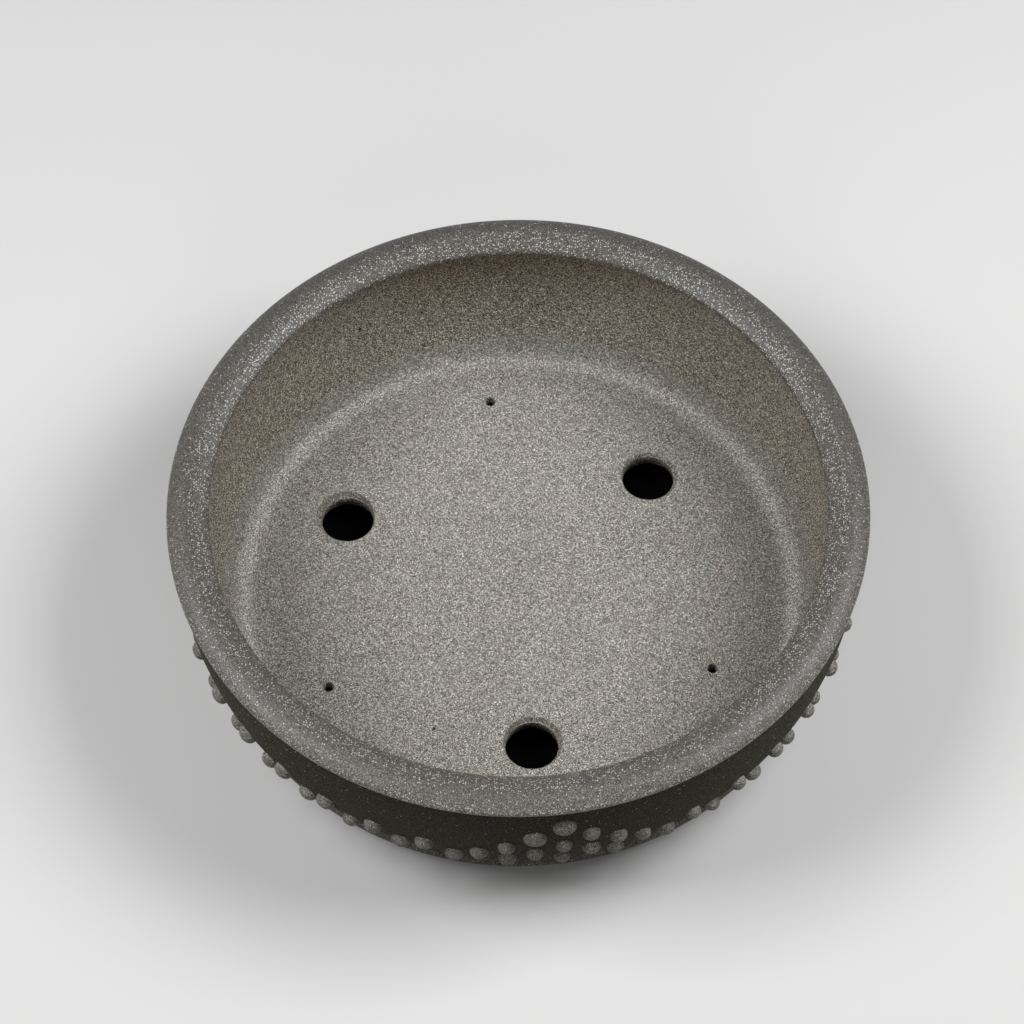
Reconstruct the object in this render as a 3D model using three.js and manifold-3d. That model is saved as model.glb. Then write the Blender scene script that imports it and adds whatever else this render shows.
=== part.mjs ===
// A drum bonsai pot: a round, shallow pot of unglazed stoneware with a rolled lip and a belt of drum nails.
// Millimetres, +Z up, front at -Y. The origin is on the bench that the feet stand on, under the mouth's centre.
// The pieces are the potter's own. They are joined with slip, so a seat that isn't a flat level face
// keeps a thin slip gap.
import * as THREE from "three";
import { mergeVertices } from "three/addons/utils/BufferGeometryUtils.js";
import Module from "manifold-3d";

const wasm = await Module();
wasm.setup();

// Heights
const footHeight = 11; // bench to the underside of the floor
const floorThickness = 8;
const mouthDepth = 79; // floor to the lip's crown
const lipHeight = 7; // the wall's top to the lip's crown
const floorTop = footHeight + floorThickness;
const crownHeight = floorTop + mouthDepth;
const wallTop = crownHeight - lipHeight;

// Lip: a flat roll of clay with a rounded top, tight shoulders and an undercut on both sides
const lipRadius = 160; // half of the pot's size across
const lipWidth = 19.4;
const lipShoulder = 2.2; // radius of the two upper edges
const lipUnderEdge = 1.9; // radius of the two lower edges
const lipCrownArc = 13.5; // radius of the rounded top

// Wall: a barrel whose outside is one arc from the belly down to the foot
const bellyInset = 3; // the lip's outside to the belly
const bellyDrop = 22; // the lip's crown down to the widest height
const footDrawIn = 19; // the belly's radius less the foot's
const wallThickness = 9.5;
const bellyRadius = lipRadius - bellyInset;
const bellyHeight = crownHeight - bellyDrop;
const footRadius = bellyRadius - footDrawIn;
const barrelFall = bellyHeight - footHeight;
const barrelArc = (barrelFall ** 2 + footDrawIn ** 2) / (2 * footDrawIn);

const slipGap = 0.3;

// Corner cove, base bead and feet
const coveRadius = 9;
const coveEdge = 0.8; // thickness of the coil where it runs out on the wall and on the floor
const beadHeight = 6;
const beadProud = 3.4;
const footLength = 58; // along the floor's edge
const footWidth = 17;
const footInset = 5; // the floor's edge to the outside of a foot
const footTaper = 2.5; // how much each side of a foot draws in towards the bench
const footCorner = 6; // radius of a foot's corners, seen from below

// Drum nails: columns go round the wall and rows go up it, and every second column stands a row higher
const triangleNames = ["front", "right", "left"];
const columnsPerTriangle = 26;
const triangleRows = 5;
const firstTriangleAzimuth = 6.94; // degrees from the front towards +X
const beltRise = 19.7; // the floor to the lowest row
const apexDrop = 14.3; // the wall's top to the nail at a triangle's apex
const nailRadius = 4.7;
const nailHeight = 3.9;
const apexNailScale = 1.15; // the nail at the apex is a bigger one
const nailRoot = 1; // how far a nail of the plain belt is pressed into the wall
const columns = columnsPerTriangle * triangleNames.length;
const columnPitch = 360 / columns;
const lowestRow = floorTop + beltRise;
const rowStep = (wallTop - apexDrop - lowestRow) / (triangleRows - 1);

// Holes in the floor, cut by hand: each one's azimuth from the front, and how far inside the cove's edge
// its centre lies
const drainBore = 24.6;
const drainEase = 1; // width of the worn upper edge
const drainHoles = [
  { azimuth: 3.7, inside: 39.5 },
  { azimuth: 134.9, inside: 35.2 },
  { azimuth: -116.2, inside: 32.6 },
];
const wireBore = 4.5;
const wireEase = 0.4;
const wireHoles = [
  { azimuth: 63.9, inside: 23.2 },
  { azimuth: -173, inside: 16.2 },
  { azimuth: -59.5, inside: 20.2 },
];
const toolRun = 2; // how far a cutting tool runs past what it cuts

// Facets of each shape
const drainSides = 24;
const wireSides = 12;
const nailSides = 8;
const nailRings = 3;
const wallSteps = 6;

const pot = new THREE.Group();
const stoneware = (color) => new THREE.MeshStandardMaterial({ color, roughness: 0.72, metalness: 0 });
const wallClay = stoneware(0x6a645c);
const lipClay = stoneware(0x7a766f);
const floorClay = stoneware(0x9b9891);
const nailClay = stoneware(0x7b766e);

const radians = THREE.MathUtils.degToRad;
const point = (x, y) => new THREE.Vector2(x, y);
const closed = (section) => [...section, section[0].clone()];

function place(name, geometry, material) {
  const piece = new THREE.Mesh(geometry, material);
  piece.name = name;
  pot.add(piece);
}

// Points along an arc, in degrees from its centre's right-hand side.
function arc(centre, radius, from, to, steps) {
  return Array.from({ length: steps + 1 }, (_, i) => {
    const angle = radians(from + ((to - from) * i) / steps);
    return point(centre.x + radius * Math.cos(angle), centre.y + radius * Math.sin(angle));
  });
}

// The barrel's outside radius at a height.
function barrelRadius(height) {
  const offCentre = height - bellyHeight;
  return bellyRadius - barrelArc + Math.sqrt(barrelArc ** 2 - offCentre ** 2);
}

// The face that the cove's back lies on, and the radius where the cove runs out on the floor.
const coveBack = (height) => barrelRadius(height) - wallThickness - slipGap;
const floorEdge = coveBack(floorTop) - coveEdge - coveRadius;

// Turns a profile of radius and height round +Z, with one facet facing each column of nails.
function turned(profile) {
  const ring = new THREE.LatheGeometry(profile, columns, radians(firstTriangleAzimuth + columnPitch / 2));
  return ring.rotateX(Math.PI / 2);
}

function solid(geometry) {
  const bare = geometry.clone();
  bare.deleteAttribute("normal");
  bare.deleteAttribute("uv");
  const merged = mergeVertices(bare, 1e-3);
  const vertProperties = merged.attributes.position.array;
  const triVerts = new Uint32Array(merged.index.array);
  return new wasm.Manifold(new wasm.Mesh({ numProp: 3, vertProperties, triVerts }));
}

function geometryOf(body) {
  const mesh = body.getMesh();
  const shape = new THREE.BufferGeometry();
  shape.setAttribute("position", new THREE.BufferAttribute(mesh.vertProperties, mesh.numProp));
  shape.setIndex(new THREE.BufferAttribute(mesh.triVerts, 1));
  shape.computeVertexNormals();
  return shape;
}

function makeFloorSlab() {
  const middle = footHeight + floorThickness / 2;
  const edge = [footHeight, middle, floorTop].map((height) => point(barrelRadius(height), height));
  // The ring just inside the cove's edge parts the open floor from the seat of the wall and cove.
  const seat = point(floorEdge - slipGap, floorTop);
  let slab = solid(turned([point(0, footHeight), ...edge, seat, point(0, floorTop)]));
  const bore = ({ azimuth, inside }, radius, ease, sides) => {
    const profile = [
      point(0, footHeight - toolRun),
      point(radius, footHeight - toolRun),
      point(radius, floorTop - ease),
      point(radius + ease + toolRun, floorTop + toolRun),
      point(0, floorTop + toolRun),
    ];
    const tool = new THREE.LatheGeometry(profile, sides);
    tool.rotateX(Math.PI / 2);
    tool.translate(0, inside - floorEdge, 0);
    tool.rotateZ(radians(azimuth));
    slab = slab.subtract(solid(tool));
  };
  drainHoles.forEach((hole) => bore(hole, drainBore / 2, drainEase, drainSides));
  wireHoles.forEach((hole) => bore(hole, wireBore / 2, wireEase, wireSides));
  place("floor_slab", geometryOf(slab), floorClay);
}

// A drum nail: a dome on a flat back, turned on +Y, then stood on the facet that faces its column.
// Its back stays `gap` clear of the facet, or its stem goes `root` into the wall.
function nailGeometry({ column, row }, { gap = 0, root = 0 }) {
  const dome = arc(point(0, 0), 1, 0, 90, nailRings).map(({ x, y }) => point(nailRadius * x, nailHeight * y));
  dome[nailRings].x = 0;
  const stem = root > 0 ? [point(nailRadius, -root)] : [];
  const nail = new THREE.LatheGeometry([point(0, -root), ...stem, ...dome], nailSides);
  const scale = row === triangleRows - 1 ? apexNailScale : 1;
  const height = lowestRow + row * rowStep;
  nail.scale(scale, 1, scale);
  nail.translate(0, gap, 0);
  nail.rotateX(Math.PI + Math.asin((bellyHeight - height) / barrelArc));
  nail.translate(0, -barrelRadius(height) * Math.cos(radians(columnPitch / 2)), height);
  return nail.rotateZ(radians(firstTriangleAzimuth + column * columnPitch));
}

// Every nail by its column and row. The belt is a zigzag of the two lowest rows, and in the middle of each
// third a triangle of nails rises from it. `across` counts the columns from the triangle's middle.
function nailPlaces() {
  const places = [];
  triangleNames.forEach((side, third) => {
    for (let i = 0; i < columnsPerTriangle; i++) {
      const across = i - Math.floor(columnsPerTriangle / 2);
      const column = third * columnsPerTriangle + across;
      const topRow = triangleRows - 1 - Math.abs(across);
      const beltRow = Math.abs(topRow) % 2;
      const inTriangle = topRow >= 0;
      for (let row = beltRow; row <= Math.max(beltRow, topRow); row += 2) {
        places.push({ side, across, column, row, inTriangle });
      }
    }
  });
  return places;
}

function makeBarrelWall() {
  const step = (wallTop - floorTop) / wallSteps;
  const heights = Array.from({ length: wallSteps + 1 }, (_, i) => floorTop + i * step);
  const outside = heights.map((height) => point(barrelRadius(height), height));
  const inside = outside.map(({ x, y }) => point(x - wallThickness, y)).reverse();
  let wall = solid(turned(closed([...outside, ...inside])));
  for (const nail of nailPlaces()) {
    if (!nail.inTriangle) wall = wall.add(solid(nailGeometry(nail, { root: nailRoot })));
  }
  place("barrel_wall", geometryOf(wall), wallClay);
}

function makeTriangleNails() {
  for (const nail of nailPlaces()) {
    if (!nail.inTriangle) continue;
    const offset = nail.across === 0 ? "middle" : (nail.across < 0 ? "l" : "r") + Math.abs(nail.across);
    place(`nail_${nail.side}_row${nail.row + 1}_${offset}`, nailGeometry(nail, { gap: slipGap }), nailClay);
  }
}

function makeRimLip() {
  const half = lipWidth / 2;
  const middle = lipRadius - half;
  // A shoulder's arc meets the crown's arc where both lean by the same angle.
  const reach = half - lipShoulder;
  const lean = THREE.MathUtils.radToDeg(Math.asin(reach / (lipCrownArc - lipShoulder)));
  const crown = point(middle, crownHeight - lipCrownArc);
  const shoulder = crown.y + (lipCrownArc - lipShoulder) * Math.cos(radians(lean));
  const underEdge = Math.min(lipUnderEdge, shoulder - wallTop);
  const under = wallTop + underEdge;
  const section = [
    ...arc(point(middle + half - underEdge, under), underEdge, -90, 0, 2),
    ...arc(point(middle + reach, shoulder), lipShoulder, 0, 90 - lean, 2),
    ...arc(crown, lipCrownArc, 90 - lean, 90 + lean, 4).slice(1, -1),
    ...arc(point(middle - reach, shoulder), lipShoulder, 90 + lean, 180, 2),
    ...arc(point(middle - half + underEdge, under), underEdge, 180, 270, 2),
  ];
  place("rim_lip", turned(closed(section)), lipClay);
}

function makeCornerCove() {
  const top = floorTop + coveEdge + coveRadius;
  const section = [
    point(floorEdge, floorTop),
    point(coveBack(floorTop), floorTop),
    point(coveBack(top), top),
    ...arc(point(floorEdge, top), coveRadius, 0, -90, 4),
  ];
  place("corner_cove", turned(closed(section)), floorClay);
}

// A half-round coil laid round the floor's edge. Its back follows the edge, a slip gap away.
function makeBaseBead() {
  const back = (height) => point(barrelRadius(height) + slipGap, height);
  const middle = footHeight + beadHeight / 2;
  const front = arc(point(0, 0), 1, -90, 90, 4)
    .slice(1, -1)
    .map(({ x, y }) => point(back(middle).x + beadProud * x, middle + (beadHeight / 2) * y));
  const section = [back(footHeight), ...front, back(footHeight + beadHeight), back(middle)];
  place("base_bead", turned(closed(section)), wallClay);
}

// A foot's outline seen from above: a bar with round corners, bent round the pot's axis.
function footOutline(drawIn) {
  const middle = footRadius - footInset - footWidth / 2;
  const corner = footCorner - drawIn;
  const inX = footWidth / 2 - drawIn - corner;
  const inY = footLength / 2 - drawIn - corner;
  const bar = [
    ...arc(point(inX, inY), corner, 0, 90, 3),
    ...arc(point(-inX, inY), corner, 90, 180, 3),
    ...arc(point(-inX, -inY), corner, 180, 270, 3),
    ...arc(point(inX, -inY), corner, 270, 360, 3),
  ];
  return bar.map(({ x, y }) => {
    const turn = y / middle;
    return point((middle + x) * Math.sin(turn), -(middle + x) * Math.cos(turn));
  });
}

function footGeometry(azimuth) {
  const bottom = footOutline(footTaper);
  const top = footOutline(0);
  const count = top.length;
  const corners = bottom.flatMap(({ x, y }) => [x, y, 0]);
  corners.push(...top.flatMap(({ x, y }) => [x, y, footHeight]));
  const faces = [];
  for (let i = 0; i < count; i++) {
    const next = (i + 1) % count;
    faces.push(i, next, count + next, i, count + next, count + i);
  }
  THREE.ShapeUtils.triangulateShape(bottom, []).forEach(([a, b, c]) => faces.push(a, c, b));
  THREE.ShapeUtils.triangulateShape(top, []).forEach((face) => faces.push(...face.map((i) => count + i)));
  const block = new THREE.BufferGeometry();
  block.setAttribute("position", new THREE.Float32BufferAttribute(corners, 3));
  block.setIndex(faces);
  block.computeVertexNormals();
  return block.rotateZ(radians(azimuth));
}

function makeFeet() {
  triangleNames.forEach((side, third) => {
    const azimuth = firstTriangleAzimuth + third * columnsPerTriangle * columnPitch;
    place(`foot_${side}`, footGeometry(azimuth), wallClay);
  });
}

makeFloorSlab();
makeBarrelWall();
makeTriangleNails();
makeRimLip();
makeCornerCove();
makeBaseBead();
makeFeet();

export default pot;
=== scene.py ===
import math
import random

import bpy
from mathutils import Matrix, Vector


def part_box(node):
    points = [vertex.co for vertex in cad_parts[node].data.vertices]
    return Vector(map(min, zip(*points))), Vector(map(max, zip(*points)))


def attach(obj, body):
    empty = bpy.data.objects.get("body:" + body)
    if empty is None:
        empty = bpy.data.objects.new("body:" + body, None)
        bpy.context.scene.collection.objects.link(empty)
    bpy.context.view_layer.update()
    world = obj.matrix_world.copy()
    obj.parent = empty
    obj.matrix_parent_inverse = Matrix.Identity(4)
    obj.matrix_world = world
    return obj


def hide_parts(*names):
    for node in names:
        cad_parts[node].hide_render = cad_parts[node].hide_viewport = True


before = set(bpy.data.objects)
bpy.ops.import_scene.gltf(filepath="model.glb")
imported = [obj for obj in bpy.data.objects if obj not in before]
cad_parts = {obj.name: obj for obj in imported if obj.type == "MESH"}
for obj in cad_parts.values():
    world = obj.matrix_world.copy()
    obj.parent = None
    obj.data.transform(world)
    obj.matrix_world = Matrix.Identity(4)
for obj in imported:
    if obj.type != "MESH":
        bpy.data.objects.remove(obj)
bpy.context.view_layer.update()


def reach(node):
    # how far a node's farthest point lies from the pot's axis
    return max(math.hypot(v.co.x, v.co.y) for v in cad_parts[node].data.vertices)


pot = {
    "crown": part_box("rim_lip")[1].z,
    "wallTop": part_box("rim_lip")[0].z,
    "floorTop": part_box("barrel_wall")[0].z,
    "slabUnder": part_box("floor_slab")[0].z,
    "belly": 0.157,  # radius of the wall where it is widest
    "bellyDrop": 0.022,  # and how far below the crown that is
    "foot": 0.138,  # radius at the slab's underside
    "wall": 0.0095,  # how thick the wall is
    "turns": 312,  # facets round the pot
}
pot["bellyHeight"] = pot["crown"] - pot["bellyDrop"]
bellyFall = pot["bellyHeight"] - pot["slabUnder"]
bellyOut = pot["belly"] - pot["foot"]
pot["arcRadius"] = (bellyFall ** 2 + bellyOut ** 2) / (2 * bellyOut)  # the wall's outside is one arc
print("frame loaded:", len(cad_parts), "nodes, crown at", round(pot["crown"], 4))


# Shapes that the pieces share

def barrelRadius(height):
    below = pot["bellyHeight"] - height
    return pot["belly"] - pot["arcRadius"] + math.sqrt(pot["arcRadius"] ** 2 - below ** 2)


def wallInside(height):
    return barrelRadius(height) - pot["wall"]


def outward(azimuth, distance, height=0.0):
    # a place at a distance from the axis, with the azimuth in degrees from the front towards the right
    side = math.radians(azimuth)
    return (distance * math.sin(side), -distance * math.cos(side), height)


def arc(centre, radius, start, end, steps):
    # points of an arc in a profile of radius and height, in degrees
    angles = [math.radians(start + (end - start) * i / steps) for i in range(steps + 1)]
    return [(centre[0] + radius * math.cos(a), centre[1] + radius * math.sin(a)) for a in angles]


def deselectAll():
    if bpy.context.object and bpy.context.object.mode != "OBJECT":
        bpy.ops.object.mode_set(mode="OBJECT")
    bpy.ops.object.select_all(action="DESELECT")


def makeActive(piece):
    deselectAll()
    piece.select_set(True)
    bpy.context.view_layer.objects.active = piece


def startPiece(name):
    piece = bpy.context.object
    piece.name = name
    piece.data.name = name
    return piece


def weld(gap):
    # merges the points that lie closer than the gap, and leaves all selected
    bpy.ops.mesh.select_all(action="SELECT")
    bpy.ops.mesh.remove_doubles(threshold=gap)
    bpy.ops.mesh.select_all(action="SELECT")


def tidyMesh(gap=2e-6):
    weld(gap)
    bpy.ops.mesh.normals_make_consistent(inside=False)


def drawProfile(name, profile, azimuth=0.0, gap=1e-6):
    # one point, extruded along the profile in the plane that faces the azimuth
    deselectAll()
    bpy.ops.mesh.primitive_plane_add(size=0.001)
    piece = startPiece(name)
    bpy.ops.object.mode_set(mode="EDIT")
    bpy.ops.mesh.select_mode(type="VERT")
    bpy.ops.mesh.select_all(action="SELECT")
    bpy.ops.mesh.merge(type="CENTER")
    here = (0.0, 0.0)
    for i, (radius, height) in enumerate(profile):
        step = outward(azimuth, radius - here[0], height - here[1])
        if i == 0:
            bpy.ops.transform.translate(value=step)
        else:
            bpy.ops.mesh.extrude_region_move(TRANSFORM_OT_translate={"value": step})
        here = (radius, height)
    weld(gap)
    return piece


def turnProfile(name, profile, turns=None, closed=True, centre=(0, 0, 0)):
    # spins a profile round a standing axis
    piece = drawProfile(name, profile + profile[:1] if closed else profile)
    bpy.ops.mesh.spin(steps=turns or pot["turns"], angle=2 * math.pi, center=(0, 0, 0), axis=(0, 0, 1))
    tidyMesh()
    if any(centre):
        bpy.ops.transform.translate(value=centre)
    bpy.ops.object.mode_set(mode="OBJECT")
    return piece


def applyModifier(piece, kind, **settings):
    makeActive(piece)
    modifier = piece.modifiers.new(kind.lower(), kind)
    for key, value in settings.items():
        setattr(modifier, key, value)
    bpy.ops.object.modifier_apply(modifier=modifier.name)


def cutAway(piece, tool):
    applyModifier(piece, "BOOLEAN", operation="DIFFERENCE", solver="EXACT", object=tool)
    bpy.data.objects.remove(tool)


# Shader maths

class Value:
    # wraps a socket, so that sums on values add their own Math nodes
    def __init__(self, finish, node, output):
        self.finish = finish
        self.node = node
        self.socket = node.outputs[output]

    def out(self, name):
        return Value(self.finish, self.node, name)

    def maths(self, operation, first, second=0.0):
        return self.finish.add("Math", {"operation": operation}, {0: first, 1: second})

    def __add__(self, other):
        return self.maths("ADD", self, other)

    def __sub__(self, other):
        return self.maths("SUBTRACT", self, other)

    def __rsub__(self, other):
        return self.maths("SUBTRACT", other, self)

    def __mul__(self, other):
        return self.maths("MULTIPLY", self, other)

    def __truediv__(self, other):
        return self.maths("DIVIDE", self, other)

    def __gt__(self, other):
        return self.maths("GREATER_THAN", self, other)

    def __lt__(self, other):
        return self.maths("LESS_THAN", self, other)

    def __abs__(self):
        return self.maths("ABSOLUTE", self)

    def root(self):
        return self.maths("SQRT", self)

    def atLeast(self, low):
        return self.maths("MAXIMUM", self, low)

    __radd__ = __add__
    __rmul__ = __mul__


class Finish:
    # the nodes of one material, or of the world
    def __init__(self, owner):
        self.owner = owner
        owner.use_nodes = True
        self.tree = owner.node_tree
        self.tree.nodes.clear()

    def add(self, kind, settings=None, inputs=None, output=0):
        node = self.tree.nodes.new("ShaderNode" + kind)
        for key, value in (settings or {}).items():
            setattr(node, key, value)
        for key, value in (inputs or {}).items():
            if isinstance(value, Value):
                self.tree.links.new(value.socket, node.inputs[key])
            else:
                node.inputs[key].default_value = value
        return Value(self, node, output)

    def mix(self, factor, first, second, mode="MIX"):
        settings = {"data_type": "RGBA", "blend_type": mode, "clamp_factor": True}
        return self.add("Mix", settings, {0: factor, 6: first, 7: second}, output=2)

    def tint(self, colour, tone, share=1.0):
        # multiplies a colour by a tone, as far as the share says
        return self.mix(share, colour, tone, "MULTIPLY")

    def grey(self, value):
        return self.add("CombineColor", inputs={0: value, 1: value, 2: value})

    def ramp(self, value, low, high, lowest=0.0, highest=1.0):
        inputs = {0: value, 1: low, 2: high, 3: lowest, 4: highest}
        return self.add("MapRange", {"interpolation_type": "SMOOTHSTEP"}, inputs)

    def noise(self, spot, scale, detail, rough=0.6):
        inputs = {"Vector": spot, "Scale": scale, "Detail": detail, "Roughness": rough}
        return self.add("TexNoise", inputs=inputs)

    def grains(self, spot, scale):
        # grains of sand: how far from a grain's middle a point is, and a number of its own for each grain
        away = self.add("TexVoronoi", inputs={"Vector": spot, "Scale": scale}, output="Distance")
        dice = self.add("SeparateColor", inputs={0: away.out("Color")}, output="Red")
        return away, dice

    def close(self, surface):
        kind = "World" if isinstance(self.owner, bpy.types.World) else "Material"
        out = self.tree.nodes.new("ShaderNodeOutput" + kind)
        self.tree.links.new(surface.socket, out.inputs["Surface"])
        return self.owner


# Clay

def linear(red, green, blue):
    # a colour as a picture shows it, as Blender's sockets take it
    return tuple(((c / 255 + 0.055) / 1.055) ** 2.4 for c in (red, green, blue)) + (1.0,)


# painted shade: the outer colours are darker than the clay itself, as the outside lies in shade below the
# lip
clayLooks = {
    "wall": {
        "slot": "wall_clay",
        "inner": linear(160, 154, 144),
        "outer": linear(64, 62, 52),
        "grain": 1.4,
        "spots": 0.12,
        "rough": 0.85,
        "gloss": 0.2,
    },
    "lip": {
        "slot": "lip_clay",
        "inner": linear(88, 84, 79),
        "outer": linear(88, 84, 79),
        "grain": 1.35,
        "spots": 0.46,
        "rough": 0.42,
        "gloss": 0.85,
    },
    "floor": {
        "slot": "floor_clay",
        "inner": linear(163, 159, 153),
        "outer": linear(64, 62, 52),
        "grain": 1.0,
        "spots": 0.13,
        "rough": 0.85,
        "gloss": 0.2,
    },
    "cove": {
        "slot": "floor_clay",
        "inner": linear(166, 162, 156),
        "outer": linear(64, 62, 52),
        "grain": 0.9,
        "spots": 0.13,
        "rough": 0.85,
        "gloss": 0.2,
    },
    "bead": {
        "slot": "wall_clay",
        "inner": linear(120, 116, 106),
        "outer": linear(120, 116, 106),
        "grain": 1.0,
        "spots": 0.13,
        "rough": 0.7,
        "gloss": 0.3,
    },
    "nail": {
        "slot": "nail_clay",
        "inner": linear(146, 142, 134),
        "outer": linear(146, 142, 134),
        "grain": 0.9,
        "spots": 0.1,
        "rough": 0.6,
        "gloss": 0.4,
    },
}
insideTones = {
    "side": (0.75, 0.745, 0.715, 1.0),  # painted shade: darker at the left and the right, where less light falls in
    "sideShadeFrom": 0.15,
    "sideShadeTo": 0.7,
    "sideShadeClimb": 0.006,  # how far above the floor the painted shade has set in
    "blush": (0.8, 0.68, 0.6, 1.0),  # what the brown near the wall's top leaves of the colour
    "blushFrom": 0.02,  # above the floor
    "blushWander": 0.05,
    "blushAside": 0.85,  # how much of the brown is lost at the sides
}
lipTones = {
    "edgeLightAndShade": 0.62,  # painted light and shade: the outer edge is paler in front and darker behind, as the light falls on it
    "outerEdgeFrom": 0.149,
    "outerEdgeTo": 0.16,
    "bare": 0.3,  # more pale grains on the outer edge, most in front: sand, and painted highlight where the front edge catches the light
    "bareFrom": 0.1578,
    "rim": (0.97, 0.9, 0.83, 1.0),  # the inner edge, browner than the crown
    "rimTo": 0.1475,
}
floorTones = {
    "coveHighlight": (1.34, 1.36, 1.4, 1.0),  # painted highlight: a pale band along the cove, where it catches the light
    "coveHighlightRadius": 0.1288,
    "coveHighlightReach": 0.0058,
    "cut": (0.7, 0.68, 0.66, 1.0),  # the raw clay inside the holes
    "cutFrom": 0.0003,  # below the floor's face
    "lowerDark": (0.16, 0.15, 0.14, 1.0),  # and darker still lower down, in the holes and on the slab's underside
    "lowerDarkFrom": 0.0028,
    "lowerDarkTo": 0.0055,
}
sand = {
    "cloud": 14.0,  # broad swings of shade, to the metre
    "cloudDetail": 3.0,
    "cloudShade": 0.2,
    "cloudRough": 0.15,
    "patch": 60.0,  # patches that lean to pink or to green
    "patchDetail": 2.0,
    "patchFrom": 0.4,
    "patchTo": 0.6,
    "pink": (1.015, 0.99, 0.975, 1.0),
    "green": (0.995, 1.003, 0.98, 1.0),
    "fine": 3100,  # grains to the metre
    "fineMiddle": 0.55,
    "fineSwing": 1.1,
    "mottle": 3900,
    "mottleDetail": 1.0,
    "mottleSwing": 0.9,
    "glint": 0.7,  # the palest of the fine grains
    "glintFrom": 0.88,
    "contrast": 1.6,
    "darkest": 0.12,
    "coarse": 1100,
    "paleGrain": linear(240, 238, 233),
    "paleReach": 0.345,  # of a cell of the coarse sand
    "paleCover": 0.92,
    "paleLost": 0.8,  # how many of them the wall's outside lacks
    "darkGrain": linear(34, 31, 28),
    "darkShare": 0.04,
    "darkReach": 0.3,
    "darkCover": 0.6,
    "pits": [  # where a grain of grog came away
        (-0.0752, 0.1247, 0.0545),
        (0.0929, 0.0988, 0.0236),
        (0.1268, 0.0748, 0.0675),
        (-0.0396, -0.075, 0.019),
    ],
    "pitRadius": 0.0008,
    "pitDepth": 1.6,
    "relief": 0.8,  # of a coarse grain or a pit, next to the fine sand's
    "bump": 0.6,
    "bumpHeight": 0.00016,
    "grainShine": 0.2,  # how much smoother a coarse grain is
}


class Place:
    # where a point of the clay lies
    def __init__(self, finish):
        self.spot = finish.add("TexCoord", output="Object")
        self.x = finish.add("SeparateXYZ", inputs={0: self.spot}, output="X")
        self.y = self.x.out("Y")
        self.z = self.x.out("Z")
        self.radius = (self.x * self.x + self.y * self.y).root()
        # the wall's middle parts the paler inside from the outside, whose colour is painted darker as shade
        # below the lip
        below = self.z - pot["bellyHeight"]
        face = (pot["arcRadius"] ** 2 - below * below).root() + (pot["belly"] - pot["arcRadius"])
        self.outside = self.radius > face - pot["wall"] / 2
        self.cloud = finish.noise(self.spot, sand["cloud"], sand["cloudDetail"]) - 0.5


def shadeInside(finish, place, colour):
    tones = insideTones
    floor = pot["floorTop"]
    inside = 1 - place.outside
    # painted shade: the inside is darker at the left and the right
    aside = finish.ramp(abs(place.x) / place.radius, tones["sideShadeFrom"], tones["sideShadeTo"])
    climb = finish.ramp(place.z, floor, floor + tones["sideShadeClimb"])
    colour = finish.tint(colour, tones["side"], aside * climb * inside)
    height = place.z + place.cloud * tones["blushWander"]
    blush = finish.ramp(height, floor + tones["blushFrom"], pot["wallTop"])
    return finish.tint(colour, tones["blush"], blush * inside * (1 - aside * tones["blushAside"]))


def shadeLip(finish, place, colour):
    tones = lipTones
    # painted light and shade on the outer edge: paler in front, darker behind
    across = finish.ramp(place.radius, tones["outerEdgeFrom"], tones["outerEdgeTo"])
    edgeLightAndShade = 1 - place.y / place.radius * across * tones["edgeLightAndShade"]
    colour = finish.tint(colour, finish.grey(edgeLightAndShade))
    innerEdge = finish.ramp(place.radius, pot["belly"] - 2 * pot["wall"], tones["rimTo"], 1.0, 0.0)
    return finish.tint(colour, tones["rim"], innerEdge)


def shadeFloor(finish, place, colour):
    tones = floorTones
    # painted highlight along the cove
    coveHighlight = finish.ramp(abs(place.radius - tones["coveHighlightRadius"]), 0.0, tones["coveHighlightReach"], 1.0, 0.0)
    colour = finish.tint(colour, tones["coveHighlight"], coveHighlight)
    cut = (place.z < pot["floorTop"] - tones["cutFrom"]) * (place.radius < pot["foot"] - pot["wall"])
    deep = finish.ramp(pot["floorTop"] - place.z, tones["lowerDarkFrom"], tones["lowerDarkTo"])
    return finish.tint(colour, finish.mix(deep, tones["cut"], tones["lowerDark"]), cut)


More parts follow.
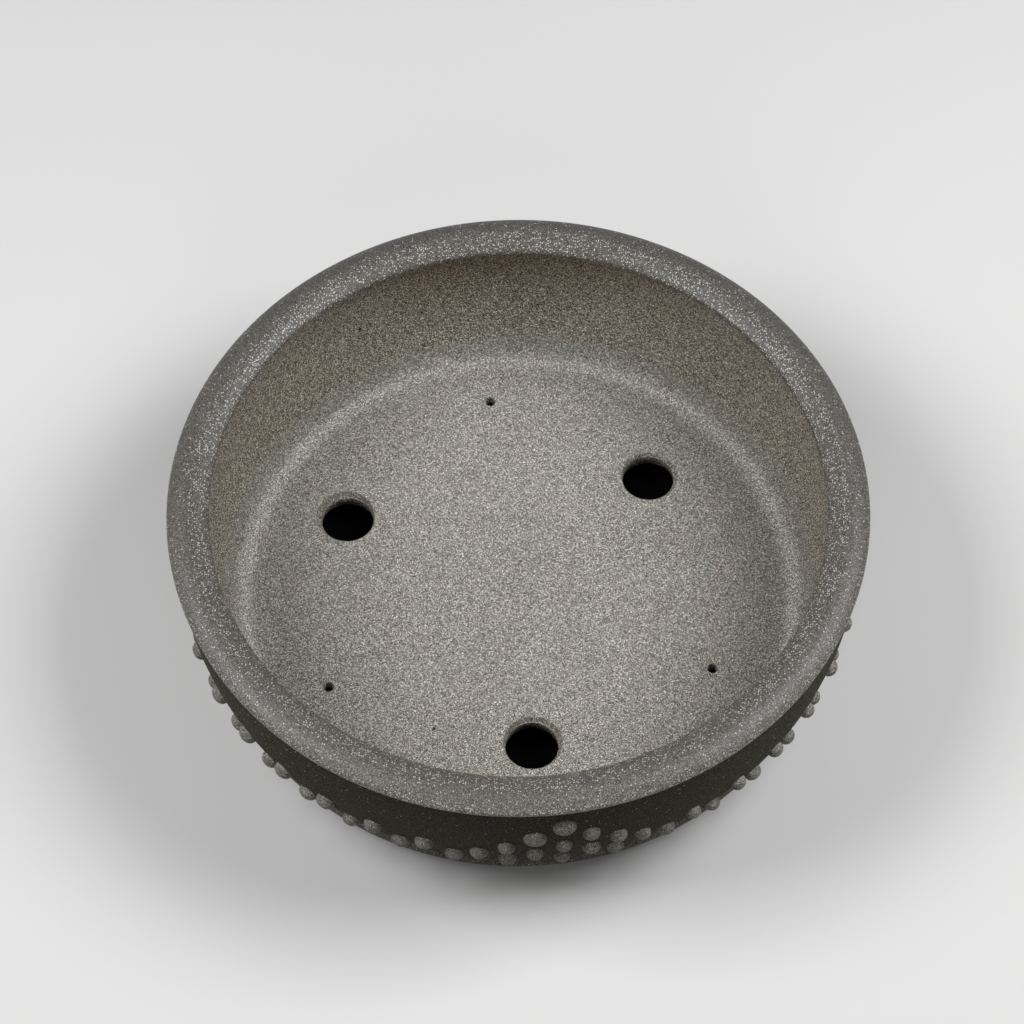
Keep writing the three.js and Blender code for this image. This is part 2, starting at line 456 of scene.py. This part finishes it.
def stoneware(name, look):
    finish = Finish(bpy.data.materials.new(name))
    place = Place(finish)
    # painted shade: the outside takes the darker outer colour
    colour = finish.mix(place.outside, look["inner"], look["outer"])
    if look["inner"] != look["outer"]:
        colour = shadeInside(finish, place, colour)
    patch = finish.noise(place.spot, sand["patch"], sand["patchDetail"])
    hue = finish.mix(finish.ramp(patch, sand["patchFrom"], sand["patchTo"]), sand["pink"], sand["green"])
    colour = finish.tint(colour, hue)
    if look["slot"] == "lip_clay":
        colour = shadeLip(finish, place, colour)
    if look["slot"] == "floor_clay":
        colour = shadeFloor(finish, place, colour)

    fineDice = finish.grains(place.spot, sand["fine"])[1]
    mottle = finish.noise(place.spot, sand["mottle"], sand["mottleDetail"])
    swing = (fineDice - sand["fineMiddle"]) * sand["fineSwing"] + (mottle - 0.5) * sand["mottleSwing"]
    swing = swing + (fineDice > sand["glintFrom"]) * sand["glint"]
    shade = 1 + swing * (look["grain"] * sand["contrast"]) + place.cloud * sand["cloudShade"]
    colour = finish.tint(colour, finish.grey(shade.atLeast(sand["darkest"])))

    coarse, coarseDice = finish.grains(place.spot, sand["coarse"])
    share = look["spots"] * (1 - place.outside * sand["paleLost"])
    # pale grains crowd the outer edge in front: sand, and painted highlight
    if look["slot"] == "lip_clay":
        bare = finish.ramp(place.radius, lipTones["bareFrom"], lipTones["outerEdgeTo"])
        share = share + bare * (1 - place.y / place.radius) * lipTones["bare"]
    pale = (coarseDice > 1 - share) * (coarse < sand["paleReach"])
    dark = (coarseDice < sand["darkShare"]) * (coarse < sand["darkReach"])
    for pit in sand["pits"]:
        away = finish.add("VectorMath", {"operation": "DISTANCE"}, {0: place.spot, 1: pit}, output="Value")
        dark = dark + (away < sand["pitRadius"]) * sand["pitDepth"]
    colour = finish.mix(pale * sand["paleCover"], colour, sand["paleGrain"])
    colour = finish.mix(dark * sand["darkCover"], colour, sand["darkGrain"])

    height = swing + (pale - dark) * sand["relief"]
    bump = finish.add("Bump", inputs={
        "Strength": sand["bump"],
        "Distance": sand["bumpHeight"],
        "Height": height,
    })
    return finish.close(finish.add("BsdfPrincipled", inputs={
        "Base Color": colour,
        "Roughness": look["rough"] - pale * sand["grainShine"] + place.cloud * sand["cloudRough"],
        "Specular IOR Level": look["gloss"],
        "Normal": bump,
    }))


clay = {name: stoneware(name + "Clay", look) for name, look in clayLooks.items()}


def finishPiece(piece, clayName, nodes, angle=35):
    makeActive(piece)
    bpy.ops.object.shade_smooth_by_angle(angle=math.radians(angle))
    piece.data.materials.clear()
    piece.data.materials.append(clay[clayName])
    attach(piece, "root")
    if nodes:
        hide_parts(*nodes)


# Lip

lip = {
    "radius": reach("rim_lip"),
    "width": 0.0194,
    "underEdge": 0.0019,  # radii of the three roundings, from the wall's top up
    "shoulder": 0.0022,
    "crownArc": 0.0135,
    "underSteps": 5,
    "shoulderSteps": 8,
    "crownSteps": 20,
}


def makeLip():
    half = lip["width"] / 2
    middle = lip["radius"] - half
    run = half - lip["shoulder"]
    lean = math.degrees(math.asin(run / (lip["crownArc"] - lip["shoulder"])))
    crown = (middle, pot["crown"] - lip["crownArc"])
    shoulder = crown[1] + (lip["crownArc"] - lip["shoulder"]) * math.cos(math.radians(lean))
    under = pot["wallTop"] + lip["underEdge"]
    edge = half - lip["underEdge"]
    profile = arc((middle + edge, under), lip["underEdge"], -90, 0, lip["underSteps"])
    profile += arc((middle + run, shoulder), lip["shoulder"], 0, 90 - lean, lip["shoulderSteps"])
    profile += arc(crown, lip["crownArc"], 90 - lean, 90 + lean, lip["crownSteps"])[1:-1]
    profile += arc((middle - run, shoulder), lip["shoulder"], 90 + lean, 180, lip["shoulderSteps"])
    profile += arc((middle - edge, under), lip["underEdge"], 180, 270, lip["underSteps"])
    finishPiece(turnProfile("lipRoll", profile), "lip", ["rim_lip"])


# Wall

barrel = {"rings": 22}


def makeWall():
    rise = (pot["wallTop"] - pot["floorTop"]) / barrel["rings"]
    heights = [pot["floorTop"] + i * rise for i in range(barrel["rings"] + 1)]
    profile = [(barrelRadius(h), h) for h in heights]
    profile += [(wallInside(h), h) for h in reversed(heights)]
    finishPiece(turnProfile("barrelWall", profile), "wall", ["barrel_wall"])


# Cove

cove = {
    "climb": 0.0098,  # how far up the wall the cove runs
    "sink": 0.0001,  # its thin edges go this far into the floor and the wall
    "tail": 0.0012,
    "back": pot["wall"] / 3,  # how deep it is pressed into the corner
    "steps": 14,
}


def makeCove():
    floor = pot["floorTop"]
    top = floor + cove["climb"]
    probe = 0.0005
    slope = (wallInside(top + probe) - wallInside(top - probe)) / (2 * probe)
    lean = math.atan(slope)
    radius = cove["climb"] / (1 - math.sin(lean))  # touches the floor and the leaning wall
    centre = (wallInside(top) - radius * math.cos(lean), floor + radius)
    above = top + cove["tail"]
    profile = [(centre[0] - cove["tail"], floor - cove["sink"])]
    profile += arc(centre, radius, -90, -math.degrees(lean), cove["steps"])
    profile += [(wallInside(above) + cove["sink"], above)]
    profile += [(wallInside(top) + cove["back"], above)]
    profile += [(wallInside(top), floor - cove["back"])]
    profile += [(centre[0], floor - cove["back"])]
    finishPiece(turnProfile("cornerCove", profile), "cove", ["corner_cove"])


# Floor

holes = {
    "drainBore": 0.0123,
    "drainEase": 0.0017,
    "drainTurns": 72,
    "drains": [  # azimuth and reach, then the side the knife pared, how far off centre and how wide
        (3.7, 0.0836, 150, 0.0009, 0.0016),
        (134.9, 0.0879, 120, 0.0008, 0.0013),
        (-116.2, 0.0905, -140, 0.0017, 0.0017),
    ],
    "pareSlope": 1.2,
    "wireBore": 0.00225,
    "wireEase": 0.0011,
    "wireTurns": 24,
    "wires": [(63.9, 0.0999), (-173.0, 0.1069), (-59.5, 0.1029)],
    "easeDepth": 0.9,
    "easeEnd": 100,  # in degrees, where the worn edge runs out into the floor's face
    "easeSteps": 6,
    "run": 0.003,  # how far the cutters stand out of the slab
}


def holeTool(bore, ease, turns, azimuth, distance):
    # a cutter whose top flares out as the worn upper edge of the hole does
    low = pot["slabUnder"] - holes["run"]
    high = pot["floorTop"] + holes["run"]
    worn = (bore + ease, pot["floorTop"] - ease * holes["easeDepth"])
    profile = [(0, low), (bore + ease, low), (bore, pot["slabUnder"] + ease)]
    profile += arc(worn, ease, 180, holes["easeEnd"], holes["easeSteps"])
    profile += [(bore + ease + 3 * holes["run"], high), (0, high)]
    return turnProfile("tool", profile, turns=turns, closed=False, centre=outward(azimuth, distance))


def paringTool(azimuth, distance, side, aside, wide):
    # a cone, a little off the hole's centre, as a knife pares the edge of a hole in soft clay
    rim = holes["drainBore"] + wide
    low = pot["floorTop"] - wide * holes["pareSlope"]
    high = pot["floorTop"] + holes["run"]
    profile = [(0, low), (holes["drainBore"], low), (rim, pot["floorTop"])]
    profile += [(rim + holes["run"], high), (0, high)]
    centre = [a + b for a, b in zip(outward(azimuth, distance), outward(side, aside))]
    return turnProfile("tool", profile, turns=holes["drainTurns"], closed=False, centre=centre)


def makeFloor():
    under = pot["slabUnder"]
    middle = (under + pot["floorTop"]) / 2
    profile = [(0, under)]
    profile += [(barrelRadius(h), h) for h in (under, middle, pot["floorTop"])]
    profile += [(0, pot["floorTop"])]
    slab = turnProfile("floorSlab", profile, closed=False)
    for azimuth, distance, side, aside, wide in holes["drains"]:
        bore = holeTool(holes["drainBore"], holes["drainEase"], holes["drainTurns"], azimuth, distance)
        cutAway(slab, bore)
        cutAway(slab, paringTool(azimuth, distance, side, aside, wide))
    for azimuth, distance in holes["wires"]:
        bore = holeTool(holes["wireBore"], holes["wireEase"], holes["wireTurns"], azimuth, distance)
        cutAway(slab, bore)
    makeActive(slab)
    bpy.ops.object.mode_set(mode="EDIT")
    tidyMesh()
    bpy.ops.object.mode_set(mode="OBJECT")
    finishPiece(slab, "floor", ["floor_slab"])
    applyModifier(slab, "WEIGHTED_NORMAL", keep_sharp=True)  # the level faces keep a level light


# Bead round the foot of the wall

bead = {
    "height": 0.006,
    "proud": 0.0034,
    "sink": 0.0006,
    "steps": 14,
}


def makeBead():
    half = bead["height"] / 2
    middle = pot["slabUnder"] + half
    face = barrelRadius(middle)
    halfRound = arc((0, 0), 1, -90, 90, bead["steps"])
    profile = [(face + bead["proud"] * x, middle + y * half) for x, y in halfRound]
    profile += [(face - bead["sink"], middle + half), (face - bead["sink"], pot["slabUnder"])]
    finishPiece(turnProfile("baseBead", profile), "bead", ["base_bead"])


# Feet

thirds = {"front": 6.94, "right": 126.94, "left": 246.94}  # azimuths of the feet and of the nails' triangles
foot = {
    "length": 0.058,
    "width": 0.017,
    "inset": 0.005,
    "drawIn": 0.0025,
    "steps": 8,
    "corner": 0.005,
    "cornerSteps": 6,
    "endBand": 0.002,  # in radians, how near an end its standing edges are looked for
    "edge": 0.0014,
    "edgeSteps": 3,
    "edgeAngle": 40,
}


def makeFoot(side, azimuth):
    slabUnder = pot["slabUnder"]
    outer = pot["foot"] - foot["inset"]
    inner = outer - foot["width"]
    angle = foot["length"] / ((outer + inner) / 2)
    profile = [(inner, slabUnder), (inner + foot["drawIn"], 0)]
    profile += [(outer - foot["drawIn"], 0), (outer, slabUnder)]
    end = azimuth + math.degrees(angle) / 2
    piece = drawProfile("foot" + side.capitalize(), profile + profile[:1], end)
    bpy.ops.mesh.edge_face_add()
    bpy.ops.mesh.spin(steps=foot["steps"], angle=angle, center=(0, 0, 0), axis=(0, 0, 1))
    tidyMesh()
    bpy.ops.mesh.select_mode(type="EDGE")
    bpy.ops.mesh.select_all(action="DESELECT")
    bpy.ops.object.mode_set(mode="OBJECT")
    for edge in piece.data.edges:
        low, high = (piece.data.vertices[i].co for i in edge.vertices)
        turned = math.atan2(low.x, -low.y) - math.radians(azimuth)
        turned = abs(math.remainder(turned, 2 * math.pi))
        standing = abs(low.z - high.z) > slabUnder / 2
        edge.select = standing and abs(turned - angle / 2) < foot["endBand"]
    bpy.ops.object.mode_set(mode="EDIT")
    bpy.ops.mesh.bevel(offset=foot["corner"], segments=foot["cornerSteps"], affect="EDGES")
    bpy.ops.object.mode_set(mode="OBJECT")
    applyModifier(
        piece,
        "BEVEL",
        width=foot["edge"],
        segments=foot["edgeSteps"],
        limit_method="ANGLE",
        angle_limit=math.radians(foot["edgeAngle"]),
    )
    finishPiece(piece, "wall", ["foot_" + side])


# Nails

nails = {
    "columnsPerTriangle": 26,
    "rows": 5,
    "lowest": 0.0387,
    "step": 0.0095,
    "radius": 0.0047,
    "height": 0.0037,
    "root": 0.0006,
    "segments": 24,
    "rings": 16,
    "smoothAngle": 60,
    "seed": 7,
    "size": 0.91,  # of the radius, on the middle of the front
    "sizeSwing": 0.1,  # the nails grow towards the left
    "sizeSpread": 0.035,
    "frontSizes": {(4, 0): 1.13, (3, -1): 1.15, (3, 1): 0.87, (2, -2): 0.84, (2, 0): 0.82, (2, 2): 0.88},
    "wide": 1.1,  # from this size on a nail was pressed flatter
    "wideDepth": 0.85,
    "depth": 0.95,
    "sag": 0.0011,
    "slip": 0.0003,
}


def makeDome():
    # a drum nail as it is pressed: a ball cut in half, flattened, with a short stem into the wall
    deselectAll()
    bpy.ops.mesh.primitive_uv_sphere_add(
        segments=nails["segments"],
        ring_count=nails["rings"],
        radius=nails["radius"],
    )
    dome = startPiece("dome")
    bpy.ops.object.mode_set(mode="EDIT")
    bpy.ops.mesh.select_all(action="SELECT")
    bpy.ops.mesh.bisect(plane_co=(0, 0, 0), plane_no=(0, 0, 1), clear_inner=True)
    bpy.ops.mesh.select_all(action="SELECT")
    bpy.ops.transform.resize(value=(1, 1, nails["height"] / nails["radius"]))
    bpy.ops.mesh.select_all(action="DESELECT")
    bpy.ops.mesh.select_mode(type="EDGE")
    bpy.ops.mesh.select_non_manifold()
    bpy.ops.mesh.extrude_region_move(TRANSFORM_OT_translate={"value": (0, 0, -nails["root"])})
    bpy.ops.mesh.edge_face_add()
    tidyMesh()
    bpy.ops.object.mode_set(mode="OBJECT")
    return dome


def nailPlaces():
    # the belt is a zigzag of two rows, and in the middle of each third a triangle rises from it
    places = []
    for side in thirds:
        for i in range(nails["columnsPerTriangle"]):
            across = i - nails["columnsPerTriangle"] // 2
            topRow = nails["rows"] - 1 - abs(across)
            lowRow = abs(topRow) % 2
            for row in range(lowRow, max(lowRow, topRow) + 1, 2):
                places.append((side, across, row, topRow >= 0))
    return places


def makeNails():
    dice = random.Random(nails["seed"])
    dome = makeDome()
    groups = {}
    pitch = 360 / (nails["columnsPerTriangle"] * len(thirds))
    for side, across, row, inTriangle in nailPlaces():
        height = nails["lowest"] - nails["sag"] + row * nails["step"] + dice.gauss(0, nails["slip"])
        azimuth = thirds[side] + across * pitch
        swing = nails["sizeSwing"] * math.sin(math.radians(azimuth))
        size = nails["size"] - swing + dice.gauss(0, nails["sizeSpread"])
        if side == "front":
            size = nails["frontSizes"].get((row, across), size)
        elif row == nails["rows"] - 1:
            size = nails["frontSizes"][(row, 0)]
        azimuth += math.degrees(dice.gauss(0, nails["slip"]) / pot["belly"])
        lean = math.asin((pot["bellyHeight"] - height) / pot["arcRadius"])
        makeActive(dome)
        bpy.ops.object.duplicate(linked=False)
        nail = bpy.context.object
        nail.scale = (size, size, nails["depth"] if size < nails["wide"] else nails["wideDepth"])
        nail.rotation_euler = (math.pi / 2 + lean, 0, math.radians(azimuth))
        nail.location = outward(azimuth, barrelRadius(height), height)
        bpy.ops.object.transform_apply(location=True, rotation=True, scale=True)
        groups.setdefault(side if inTriangle else "belt", []).append(nail)
    bpy.data.objects.remove(dome)
    for group, members in groups.items():
        makeActive(members[0])
        for nail in members:
            nail.select_set(True)
        bpy.ops.object.join()
        piece = startPiece("nails" + group.capitalize())
        covered = [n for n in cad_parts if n.startswith("nail_" + group + "_")]
        finishPiece(piece, "nail", covered, angle=nails["smoothAngle"])


makeLip()
makeWall()
makeCove()
makeFloor()
makeBead()
print("turned pieces made")
for side, azimuth in thirds.items():
    makeFoot(side, azimuth)
makeNails()
print("feet and nails made")


# Stage

stage = {
    "groundSize": 12,
    "groundRough": 0.9,
    "floorColour": (0.95, 0.94, 0.92, 1.0),
    "bounceColour": (0.03, 0.03, 0.03, 1.0),
    "black": (0.0, 0.0, 0.0, 1.0),
    "glowFrom": 0.5,  # farther out the ground shows the backdrop's tone
    "glowTo": 1.0,
    "shadeColour": (0.004, 0.004, 0.005, 1.0),
    "shadeRadius": 0.112,
    "shadeDepth": 0.0004,
    "shadeTurns": 96,
    "world": (0.012, 0.012, 0.012, 1.0),
    "backdrop": (0.78, 0.78, 0.77, 1.0),
    "sheen": 0.5,  # how much of the backdrop the clay's sheen shows
}


def makeGround():
    deselectAll()
    bpy.ops.mesh.primitive_plane_add(size=stage["groundSize"])
    ground = startPiece("ground")
    finish = Finish(bpy.data.materials.new("groundPaint"))
    ray = finish.add("LightPath", output="Is Camera Ray")
    seen = ray + ray.out("Is Glossy Ray") + ray.out("Is Transmission Ray")
    spot = finish.add("TexCoord", output="Object")
    distance = finish.add("VectorMath", {"operation": "LENGTH"}, {0: spot}, output="Value")
    glow = finish.ramp(distance, stage["glowFrom"], stage["glowTo"]) * seen
    colour = finish.mix(seen, stage["bounceColour"], stage["floorColour"])
    paint = finish.add("BsdfPrincipled", inputs={
        "Base Color": finish.mix(glow, colour, stage["black"]),
        "Roughness": stage["groundRough"],
        "Emission Color": finish.mix(glow, stage["black"], stage["backdrop"]),
        "Emission Strength": 1.0,
    })
    ground.data.materials.append(finish.close(paint))


def makeShade():
    # a painted shadow: a near-black disc under the pot, so that nothing but shade is seen through the drain
    # holes
    deselectAll()
    bpy.ops.mesh.primitive_cylinder_add(
        vertices=stage["shadeTurns"],
        radius=stage["shadeRadius"],
        depth=stage["shadeDepth"],
    )
    shade = startPiece("shade")
    finish = Finish(bpy.data.materials.new("shadePaint"))
    paint = finish.add("BsdfPrincipled", inputs={
        "Base Color": stage["shadeColour"],
        "Roughness": 1.0,
        "Specular IOR Level": 0.0,
    })
    shade.data.materials.append(finish.close(paint))


def makeWorld():
    # the weak light of the world itself, which the camera sees as the backdrop
    bpy.context.scene.world = bpy.data.worlds.new("studio")
    finish = Finish(bpy.context.scene.world)
    ray = finish.add("LightPath", output="Is Camera Ray")
    sheen = ray.out("Is Glossy Ray") * stage["sheen"]
    seen = ray.atLeast(sheen.atLeast(ray.out("Is Transmission Ray")))
    colour = finish.mix(seen, stage["world"], stage["backdrop"])
    finish.close(finish.add("Background", inputs={"Color": colour}))


lamps = {
    "distance": 1.6,  # from the middle of the floor
    "colour": (0.97, 0.99, 1.0),
    "boxes": {
        "rightBox": {"azimuth": 96, "elevation": 52, "size": 0.8, "power": 14.9},
        "frontBox": {"azimuth": 0, "elevation": 35, "size": 0.6, "power": 2.4},
        "leftBox": {"azimuth": -87, "elevation": 51, "size": 0.8, "power": 13.1},
    },
}


def makeLamps():
    for name, lamp in lamps["boxes"].items():
        rise = math.radians(lamp["elevation"])
        flat = lamps["distance"] * math.cos(rise)
        up = lamps["distance"] * math.sin(rise)
        bpy.ops.object.light_add(type="AREA", location=outward(lamp["azimuth"], flat, pot["floorTop"] + up))
        light = bpy.context.object
        light.name = name
        light.data.size = lamp["size"]
        light.data.energy = lamp["power"]
        light.data.color = lamps["colour"]
        light.rotation_euler = (math.pi / 2 - rise, 0, math.radians(lamp["azimuth"]))


camera = {
    "elevation": 57.62,
    "distance": 1.8293,  # from the mouth's centre
    "lens": 141.68,
    "sensor": 36,
    "roll": -0.0079,
    "shift": (-0.00605, -0.0129),
    "clipEnd": 50,
}


def makeCamera():
    rise = math.radians(camera["elevation"])
    flat = camera["distance"] * math.cos(rise)
    up = camera["distance"] * math.sin(rise)
    bpy.ops.object.camera_add(location=outward(0, flat, pot["crown"] + up))
    eye = bpy.context.object
    eye.rotation_mode = "ZYX"
    eye.rotation_euler = (math.pi / 2 - rise, 0, camera["roll"])
    eye.data.lens = camera["lens"]
    eye.data.sensor_width = camera["sensor"]
    eye.data.shift_x, eye.data.shift_y = camera["shift"]
    eye.data.clip_end = camera["clipEnd"]
    bpy.context.scene.camera = eye


makeGround()
makeShade()
makeWorld()
makeLamps()
makeCamera()
bpy.context.scene.view_settings.view_transform = "Standard"
print("stage set")
